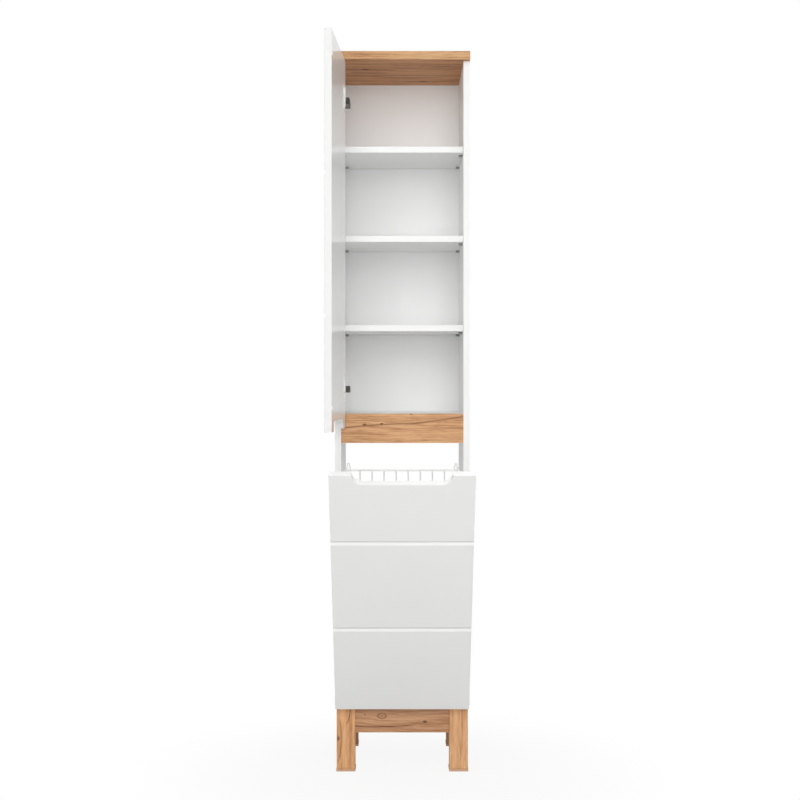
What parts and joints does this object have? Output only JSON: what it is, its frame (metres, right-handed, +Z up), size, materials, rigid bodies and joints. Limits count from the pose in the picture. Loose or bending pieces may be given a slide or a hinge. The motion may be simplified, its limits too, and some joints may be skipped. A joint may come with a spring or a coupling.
{
  "type": "tall bathroom cabinet",
  "caption": "Tall narrow bathroom cabinet on oak legs: shelves behind a left-hung door, and a tilting laundry hamper with a wire basket below.",
  "frame": {"origin": "on the floor, at the middle of the cabinet's width, in the plane of the closed fronts' outer faces; with the door and hamper open as stored, the box's bottom centre is a few mm from it", "axes": "+X to the cabinet's right seen from the front, +Y from the front to the wall, +Z up"},
  "size_m": [0.3596, 0.6668, 1.87],
  "materials": {
    "oak": "matt oak decor, grain along each board",
    "foot_cap": "matt dark brown",
    "white_board": "white coated board, satin",
    "white_front": "white lacquer, satin outside and glossy inside",
    "white_back": "white coated thin board",
    "white_wire": "white powder coat",
    "hinge_steel": "dark nickel",
    "pin_steel": "plain steel",
    "screw_steel": "zinc",
    "white_bracket": "white powder coat",
    "grey_pin": "dark zinc",
    "beech_dowel": "bare beech",
    "clear_buffer": "soft, milky",
    "white_clip": "matt white"
  },
  "bodies": {
    "carcass": {"back_panel": "white_back", "bottom_panel": "white_board", "carcass_dowels": "beech_dowel", "carcass_screws": "screw_steel", "compartment_floor": "white_board", "cross_rail": "oak", "frame_bolts": "screw_steel", "frame_dowels": "beech_dowel", "front_apron": "oak", "front_left_foot": "foot_cap", "front_left_leg": "oak", "front_right_foot": "foot_cap", "front_right_leg": "oak", "hinge_arm_pins": "pin_steel", "left_apron": "oak", "left_pivot_bracket": "white_bracket", "left_side_panel": "white_board", "lower_hinge_arm": "hinge_steel", "lower_hinge_plate": "hinge_steel", "lower_shelf": "white_board", "middle_shelf": "white_board", "rear_apron": "oak", "rear_left_foot": "foot_cap", "rear_left_leg": "oak", "rear_right_foot": "foot_cap", "rear_right_leg": "oak", "rear_stretcher": "white_board", "right_apron": "oak", "right_pivot_bracket": "white_bracket", "right_side_panel": "white_board", "shelf_pins": "grey_pin", "tilt_pivot_pins": "pin_steel", "tilt_stop_pins": "pin_steel", "top_panel": "oak", "upper_hinge_arm": "hinge_steel", "upper_hinge_plate": "hinge_steel", "upper_shelf": "white_board"},
    "hinge_links": {"upper_hinge_link": "hinge_steel", "lower_hinge_link": "hinge_steel"},
    "door": {"door_panel": "white_front", "upper_hinge_cup": "hinge_steel", "lower_hinge_cup": "hinge_steel", "hinge_cup_pins": "pin_steel", "hinge_cup_screws": "screw_steel", "door_buffers": "clear_buffer"},
    "hamper": {"hamper_front": "white_front", "left_tilt_bracket": "white_bracket", "right_tilt_bracket": "white_bracket", "hamper_screws": "screw_steel", "basket_clips": "white_clip", "hamper_buffers": "clear_buffer", "basket_ears": "white_wire", "basket_floor_grid": "white_wire", "basket_front_grid": "white_wire", "basket_left_grid": "white_wire", "basket_rear_grid": "white_wire", "basket_right_grid": "white_wire", "basket_rim": "white_wire"}
  },
  "joints": [
    {"name": "hinge_link_turn", "type": "hinge", "parent": "carcass", "child": "hinge_links", "pos_m": [-0.144, 0.028, 1.37], "axis": [0, 0, 1], "range_deg": [-41.85, 0]},
    {"name": "door_swing", "type": "hinge", "parent": "hinge_links", "child": "door", "pos_m": [-0.15015, 0.00639, 1.37], "axis": [0, 0, 1], "range_deg": [0, 134.85]},
    {"name": "hamper_tilt", "type": "hinge", "parent": "carcass", "child": "hamper", "pos_m": [0, 0.024, 0.18], "axis": [1, 0, 0], "range_deg": [-28.4, 0]}
  ],
  "couplings": [
    {"joint": "door_swing", "follows": "hinge_link_turn", "ratio": -3.2222}
  ]
}
